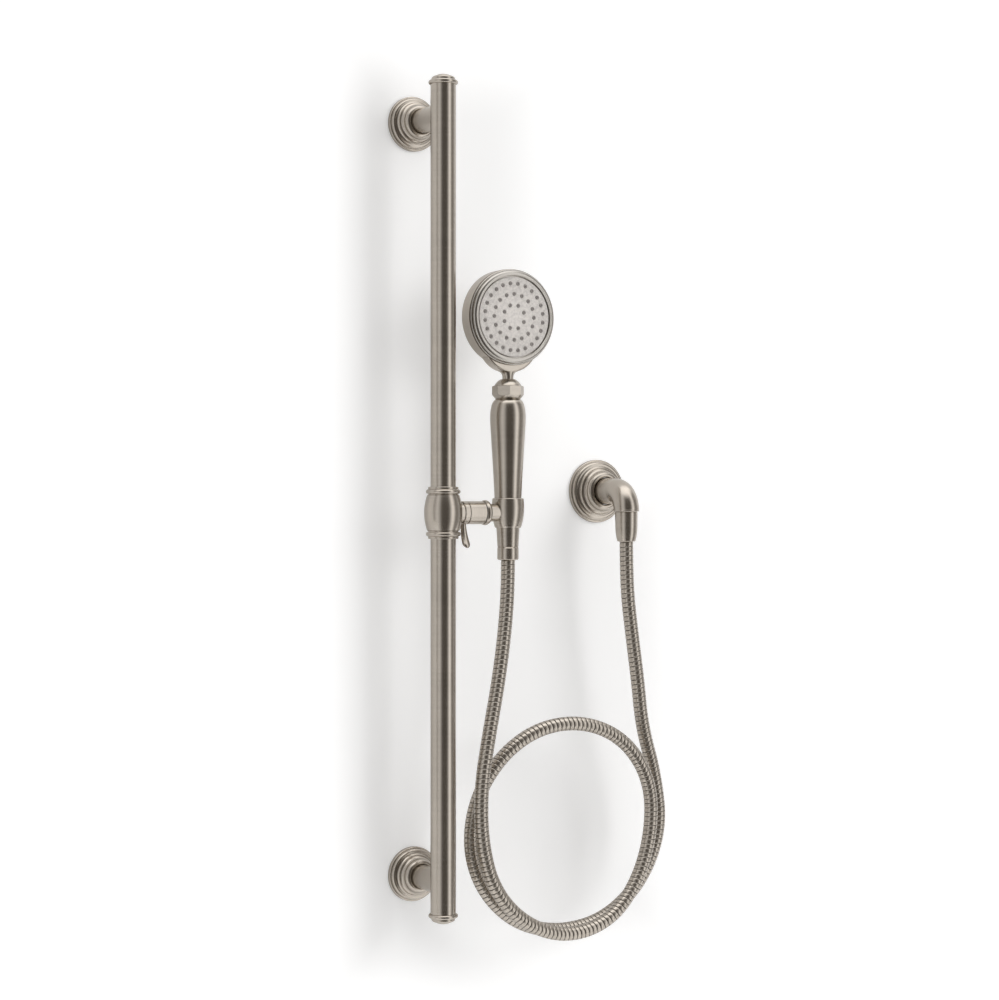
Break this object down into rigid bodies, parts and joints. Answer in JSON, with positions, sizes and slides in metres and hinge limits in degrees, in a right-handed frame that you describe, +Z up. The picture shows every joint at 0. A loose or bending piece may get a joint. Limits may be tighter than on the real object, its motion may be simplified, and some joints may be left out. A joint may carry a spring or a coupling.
{
  "type": "slide-bar hand shower set",
  "caption": "Wall slide bar with a swivelling slider and holder, a round-headed hand shower, a looped metal hose and a wall supply elbow.",
  "frame": {"origin": "centre of the lower bracket's wall face", "axes": "+Z up along the bar, -Y out of the wall into the room, +X from the bar towards the supply elbow"},
  "size_m": [0.2982, 0.0861, 0.8713],
  "materials": {
    "brushed_nickel": "satin brushed nickel plate on brass",
    "hose_metal": "interlocked metal strip, satin",
    "plain_steel": "plain",
    "brass": "turned",
    "white_plastic": "moulded",
    "black_rubber": "moulded",
    "spray_plate_grey": "satin metallic grey",
    "nozzle_rubber": "soft silicone"
  },
  "bodies": {
    "wall_set": {"slide_bar": "brushed_nickel", "bar_plugs": "brass", "lower_post": "brushed_nickel", "upper_post": "brushed_nickel", "lower_wall_plate": "plain_steel", "upper_wall_plate": "plain_steel", "lower_flange": "brushed_nickel", "upper_flange": "brushed_nickel", "lower_end_cap": "brushed_nickel", "upper_end_cap": "brushed_nickel", "lower_cap_seal": "black_rubber", "upper_cap_seal": "black_rubber", "bar_screws": "plain_steel", "post_grub_screws": "plain_steel", "elbow_body": "brushed_nickel", "elbow_flange": "brushed_nickel", "elbow_outlet": "brushed_nickel", "check_valve_seat": "white_plastic", "check_valve_guide": "white_plastic", "check_valve_spring": "plain_steel", "elbow_hose_nut": "brushed_nickel", "elbow_hose_washer": "black_rubber", "elbow_hose_insert": "brass", "hose": "hose_metal"},
    "liner": {"slider_liner": "white_plastic"},
    "slider": {"slider_barrel": "brushed_nickel", "upper_collar": "brushed_nickel", "lower_collar": "brushed_nickel", "arm_sleeve": "brushed_nickel", "tilt_grub_screw": "plain_steel"},
    "lever": {"lock_lever": "brushed_nickel", "lever_pin": "plain_steel"},
    "brake": {"brake_plunger": "plain_steel"},
    "holder": {"tilt_spindle": "plain_steel", "tilt_ring": "brushed_nickel", "holder_cup": "brushed_nickel", "cup_liner": "white_plastic", "friction_washer": "white_plastic"},
    "hose_end": {"hose_ferrule": "brushed_nickel", "ferrule_insert": "brass"},
    "handset": {"cone_nut": "brushed_nickel", "cone_washer": "black_rubber", "inlet_stem": "brass", "inlet_filter": "white_plastic", "flow_regulator": "white_plastic", "handle_shell": "brushed_nickel", "water_tube": "white_plastic", "collar_nut": "brushed_nickel", "neck_seal": "black_rubber", "head_neck": "brushed_nickel", "head_body": "brushed_nickel", "bezel_ring": "brushed_nickel", "head_seal": "black_rubber", "spray_plate": "spray_plate_grey", "nozzle_mat": "nozzle_rubber", "distributor_disc": "white_plastic", "plate_screws": "plain_steel"},
    "poppet": {"check_valve_poppet": "white_plastic"}
  },
  "joints": [
    {"name": "slider_travel", "type": "slide", "parent": "wall_set", "child": "liner", "axis": [0, 0, 1], "range_m": [-0.32, 0.35], "deforming": ["hose"]},
    {"name": "slider_swivel", "type": "hinge", "parent": "liner", "child": "slider", "pos_m": [0, -0.066, 0.3673], "axis": [0, 0, 1], "range_deg": [-60, 20]},
    {"name": "lever_turn", "type": "hinge", "parent": "slider", "child": "lever", "pos_m": [0.0227, -0.066, 0.3673], "axis": [-1, 0, 0], "range_deg": [0, 70]},
    {"name": "brake_slide", "type": "slide", "parent": "slider", "child": "brake", "axis": [1, 0, 0], "range_m": [0, 0.0006]},
    {"name": "holder_tilt", "type": "hinge", "parent": "slider", "child": "holder", "pos_m": [0.05, -0.066, 0.3673], "axis": [1, 0, 0], "range_deg": [-10, 40]},
    {"name": "handset_lift", "type": "slide", "parent": "holder", "child": "hose_end", "axis": [0, 0, 1], "range_m": [0, 0.062]},
    {"name": "handset_turn", "type": "hinge", "parent": "hose_end", "child": "handset", "pos_m": [0.0742, -0.066, 0.341], "axis": [0, 0, 1], "continuous": true},
    {"name": "valve_lift", "type": "slide", "parent": "wall_set", "child": "poppet", "axis": [0, 0, -1], "range_m": [0, 0.004], "stiffness_N_per_m": 100, "springref_m": -0.006, "deforming": ["check_valve_spring"]}
  ],
  "couplings": [
    {"joint": "brake_slide", "follows": "lever_turn", "m_per_rad": 0.00049}
  ]
}
